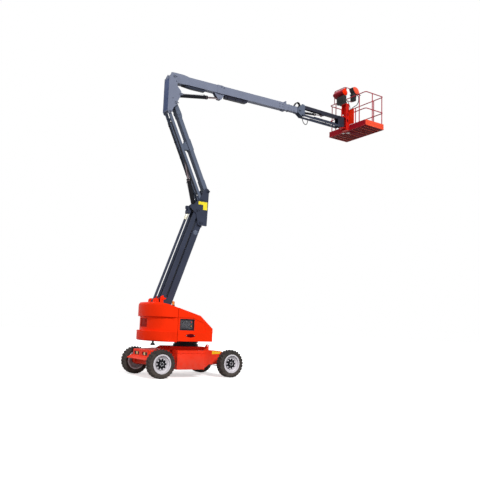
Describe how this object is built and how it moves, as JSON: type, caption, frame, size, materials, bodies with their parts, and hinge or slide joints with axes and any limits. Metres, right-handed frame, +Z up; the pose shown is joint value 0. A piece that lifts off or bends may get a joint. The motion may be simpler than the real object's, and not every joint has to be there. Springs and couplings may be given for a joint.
{
  "type": "articulating boom lift",
  "caption": "Self-propelled boom lift with stacked risers, a telescoping main boom and a jib that carry a railed work platform above a wheeled chassis with a slewing turntable.",
  "frame": {"origin": "on the ground under the slew axis", "axes": "+X the way the boom points, +Y the machine's left, +Z up"},
  "size_m": [8.0403, 1.7708, 9.5469],
  "materials": {
    "red_paint": "gloss",
    "boom_grey": "satin",
    "cast_red": "gloss",
    "black_paint": "satin",
    "rim_white": "satin",
    "hub_dark": "satin",
    "tyre": "matt",
    "chrome": "polished",
    "cover_plastic": "gloss",
    "black_plastic": "matt",
    "amber": "gloss",
    "battery": "matt"
  },
  "bodies": {
    "chassis": {"chassis_frame": "red_paint", "battery_box_left": "red_paint", "battery_box_right": "red_paint", "battery_packs": "battery", "rear_axle": "red_paint", "front_axle": "red_paint", "slew_ring": "black_paint"},
    "steering_left": {"steering_knuckle_left": "black_paint"},
    "steering_right": {"steering_knuckle_right": "black_paint"},
    "tie_rod": {"tie_rod": "black_paint"},
    "wheel_front_left": {"tyre_front_left": "tyre", "rim_front_left": "rim_white", "hub_front_left": "hub_dark"},
    "wheel_front_right": {"tyre_front_right": "tyre", "rim_front_right": "rim_white", "hub_front_right": "hub_dark"},
    "wheel_rear_left": {"tyre_rear_left": "tyre", "rim_rear_left": "rim_white", "hub_rear_left": "hub_dark"},
    "wheel_rear_right": {"tyre_rear_right": "tyre", "rim_rear_right": "rim_white", "hub_rear_right": "hub_dark"},
    "turntable": {"turntable_frame": "red_paint", "counterweight": "cast_red", "hood_rear": "cover_plastic", "ground_controls": "black_plastic", "power_pack": "black_paint", "beacon_base": "black_plastic", "beacon_lens": "amber", "travel_alarm": "black_plastic"},
    "cover_left": {"cover_left": "cover_plastic"},
    "cover_right": {"cover_right": "cover_plastic"},
    "lower_arm": {"lower_arm": "boom_grey"},
    "lower_link": {"lower_link": "boom_grey"},
    "lower_rod": {"lower_rod": "boom_grey"},
    "knuckle": {"knuckle": "boom_grey"},
    "upper_arm": {"upper_arm": "boom_grey"},
    "upper_link": {"upper_link": "boom_grey"},
    "riser_barrel": {"riser_barrel": "black_paint"},
    "riser_rod": {"riser_rod": "chrome"},
    "upright": {"upright": "boom_grey"},
    "main_boom": {"main_boom": "boom_grey", "boom_tray": "black_paint"},
    "lift_barrel": {"lift_barrel": "black_paint"},
    "lift_rod": {"lift_rod": "chrome"},
    "boom_extension": {"boom_extension": "boom_grey"},
    "jib_bracket": {"jib_bracket": "boom_grey"},
    "jib_arm": {"jib_arm": "boom_grey"},
    "jib_link": {"jib_link": "boom_grey"},
    "jib_barrel": {"jib_barrel": "black_paint"},
    "jib_rod": {"jib_rod": "chrome"},
    "jib_head": {"jib_head": "boom_grey"},
    "platform": {"platform_mast": "red_paint", "platform_floor": "red_paint", "platform_rails": "red_paint", "control_console": "black_plastic", "console_cover": "cover_plastic", "side_cover": "cover_plastic"},
    "entry_bar": {"entry_bar": "red_paint"}
  },
  "joints": [
    {"name": "steer_left", "type": "hinge", "parent": "chassis", "child": "steering_left", "pos_m": [0.925, 0.6, 0.355], "axis": [0, 0, 1], "range_deg": [-35, 35]},
    {"name": "steer_right", "type": "hinge", "parent": "chassis", "child": "steering_right", "pos_m": [0.925, -0.6, 0.355], "axis": [0, 0, 1], "range_deg": [-35, 35]},
    {"name": "tie_rod_pivot", "type": "hinge", "parent": "steering_left", "child": "tie_rod", "pos_m": [0.775, 0.6, 0.28], "axis": [0, 0, 1], "range_deg": [-35, 35]},
    {"name": "roll_front_left", "type": "hinge", "parent": "steering_left", "child": "wheel_front_left", "pos_m": [0.925, 0.768, 0.355], "axis": [0, 1, 0], "continuous": true},
    {"name": "roll_front_right", "type": "hinge", "parent": "steering_right", "child": "wheel_front_right", "pos_m": [0.925, -0.768, 0.355], "axis": [0, 1, 0], "continuous": true},
    {"name": "roll_rear_left", "type": "hinge", "parent": "chassis", "child": "wheel_rear_left", "pos_m": [-1.085, 0.768, 0.355], "axis": [0, 1, 0], "continuous": true},
    {"name": "roll_rear_right", "type": "hinge", "parent": "chassis", "child": "wheel_rear_right", "pos_m": [-1.085, -0.768, 0.355], "axis": [0, 1, 0], "continuous": true},
    {"name": "slew", "type": "hinge", "parent": "chassis", "child": "turntable", "pos_m": [0, 0, 0.91], "axis": [0, 0, 1], "range_deg": [-177.5, 177.5]},
    {"name": "cover_left_open", "type": "hinge", "parent": "turntable", "child": "cover_left", "pos_m": [-0.56, 0.2, 1.67063], "axis": [0.9627, 0, -0.2707], "range_deg": [0, 70]},
    {"name": "cover_right_open", "type": "hinge", "parent": "turntable", "child": "cover_right", "pos_m": [-0.56, -0.2, 1.67063], "axis": [-0.9627, 0, 0.2707], "range_deg": [0, 70]},
    {"name": "riser_lift", "type": "hinge", "parent": "turntable", "child": "lower_arm", "pos_m": [-0.69, 0, 1.645], "axis": [0, -1, 0], "range_deg": [-68, 2]},
    {"name": "lower_link_pivot", "type": "hinge", "parent": "turntable", "child": "lower_link", "pos_m": [-0.8, 0, 1.975], "axis": [0, -1, 0], "range_deg": [-68, 2]},
    {"name": "lower_rod_pivot", "type": "hinge", "parent": "turntable", "child": "lower_rod", "pos_m": [-1.01, 0, 1.9], "axis": [0, -1, 0], "range_deg": [-68, 2]},
    {"name": "knuckle_pivot", "type": "hinge", "parent": "lower_arm", "child": "knuckle", "pos_m": [0.19241, 0, 4.09599], "axis": [0, -1, 0], "range_deg": [-2, 68]},
    {"name": "upper_arm_pivot", "type": "hinge", "parent": "knuckle", "child": "upper_arm", "pos_m": [0.38041, 0, 4.99999], "axis": [0, -1, 0], "range_deg": [-2, 68]},
    {"name": "upper_link_pivot", "type": "hinge", "parent": "knuckle", "child": "upper_link", "pos_m": [0.21041, 0, 4.71999], "axis": [0, -1, 0], "range_deg": [-2, 68]},
    {"name": "upright_pivot", "type": "hinge", "parent": "upper_arm", "child": "upright", "pos_m": [-0.72904, 0, 7.31042], "axis": [0, -1, 0], "range_deg": [-68, 2]},
    {"name": "riser_barrel_pivot", "type": "hinge", "parent": "knuckle", "child": "riser_barrel", "pos_m": [0.08241, 0, 4.42599], "axis": [0, -1, 0], "range_deg": [-1.72, 56.71]},
    {"name": "riser_rod_slide", "type": "slide", "parent": "riser_barrel", "child": "riser_rod", "axis": [-0.2619, 0, 0.9651], "range_m": [-0.66391, 0.02001]},
    {"name": "boom_lift", "type": "hinge", "parent": "upright", "child": "main_boom", "pos_m": [-0.81904, 0, 8.04542], "axis": [0, -1, 0], "range_deg": [-5.6, 72.4]},
    {"name": "lift_barrel_pivot", "type": "hinge", "parent": "upright", "child": "lift_barrel", "pos_m": [-0.59904, 0, 7.57842], "axis": [0, -1, 0], "range_deg": [-5.23, 66.99]},
    {"name": "lift_rod_slide", "type": "slide", "parent": "lift_barrel", "child": "lift_rod", "axis": [0.9824, 0, 0.1867], "range_m": [-0.04852, 0.62133]},
    {"name": "boom_extend", "type": "slide", "parent": "main_boom", "child": "boom_extension", "axis": [0.9996, 0, 0.0279], "range_m": [0, 2.2]},
    {"name": "level_pivot", "type": "hinge", "parent": "boom_extension", "child": "jib_bracket", "pos_m": [3.63034, 0, 8.12969], "axis": [0, -1, 0], "range_deg": [-72.4, 5.6]},
    {"name": "jib_lift", "type": "hinge", "parent": "jib_bracket", "child": "jib_arm", "pos_m": [3.79534, 0, 8.30969], "axis": [0, -1, 0], "range_deg": [-65, 70]},
    {"name": "jib_link_pivot", "type": "hinge", "parent": "jib_bracket", "child": "jib_link", "pos_m": [3.77534, 0, 8.00469], "axis": [0, -1, 0], "range_deg": [-65, 70]},
    {"name": "jib_barrel_pivot", "type": "hinge", "parent": "jib_bracket", "child": "jib_barrel", "pos_m": [3.79534, 0, 8.11969], "axis": [0, -1, 0], "range_deg": [-62.99, 67.84]},
    {"name": "jib_rod_slide", "type": "slide", "parent": "jib_barrel", "child": "jib_rod", "axis": [0.9934, 0, 0.1145], "range_m": [-0.20681, 0.22268]},
    {"name": "jib_head_pivot", "type": "hinge", "parent": "jib_arm", "child": "jib_head", "pos_m": [5.34034, 0, 8.30969], "axis": [0, -1, 0], "range_deg": [-70, 65]},
    {"name": "platform_rotate", "type": "hinge", "parent": "jib_head", "child": "platform", "pos_m": [5.51034, 0, 8.30969], "axis": [0, 0, 1], "range_deg": [-80, 80]},
    {"name": "entry_bar_lift", "type": "hinge", "parent": "platform", "child": "entry_bar", "pos_m": [6.28004, 0.853, 8.51399], "axis": [0, 1, 0], "range_deg": [0, 80]}
  ],
  "couplings": [
    {"joint": "steer_right", "follows": "steer_left", "ratio": 1},
    {"joint": "tie_rod_pivot", "follows": "steer_left", "ratio": -1},
    {"joint": "lower_link_pivot", "follows": "riser_lift", "ratio": 1},
    {"joint": "lower_rod_pivot", "follows": "riser_lift", "ratio": 1},
    {"joint": "knuckle_pivot", "follows": "riser_lift", "ratio": -1},
    {"joint": "upper_arm_pivot", "follows": "riser_lift", "ratio": -1},
    {"joint": "upper_link_pivot", "follows": "riser_lift", "ratio": -1},
    {"joint": "upright_pivot", "follows": "riser_lift", "ratio": 1},
    {"joint": "riser_barrel_pivot", "follows": "riser_lift", "ratio": -0.83323},
    {"joint": "riser_rod_slide", "follows": "riser_lift", "m_per_rad": 0.55898},
    {"joint": "lift_barrel_pivot", "follows": "boom_lift", "ratio": 0.92455},
    {"joint": "lift_rod_slide", "follows": "boom_lift", "m_per_rad": 0.49131},
    {"joint": "level_pivot", "follows": "boom_lift", "ratio": -1},
    {"joint": "jib_link_pivot", "follows": "jib_lift", "ratio": 1},
    {"joint": "jib_barrel_pivot", "follows": "jib_lift", "ratio": 0.96836},
    {"joint": "jib_rod_slide", "follows": "jib_lift", "m_per_rad": 0.18186},
    {"joint": "jib_head_pivot", "follows": "jib_lift", "ratio": -1}
  ]
}
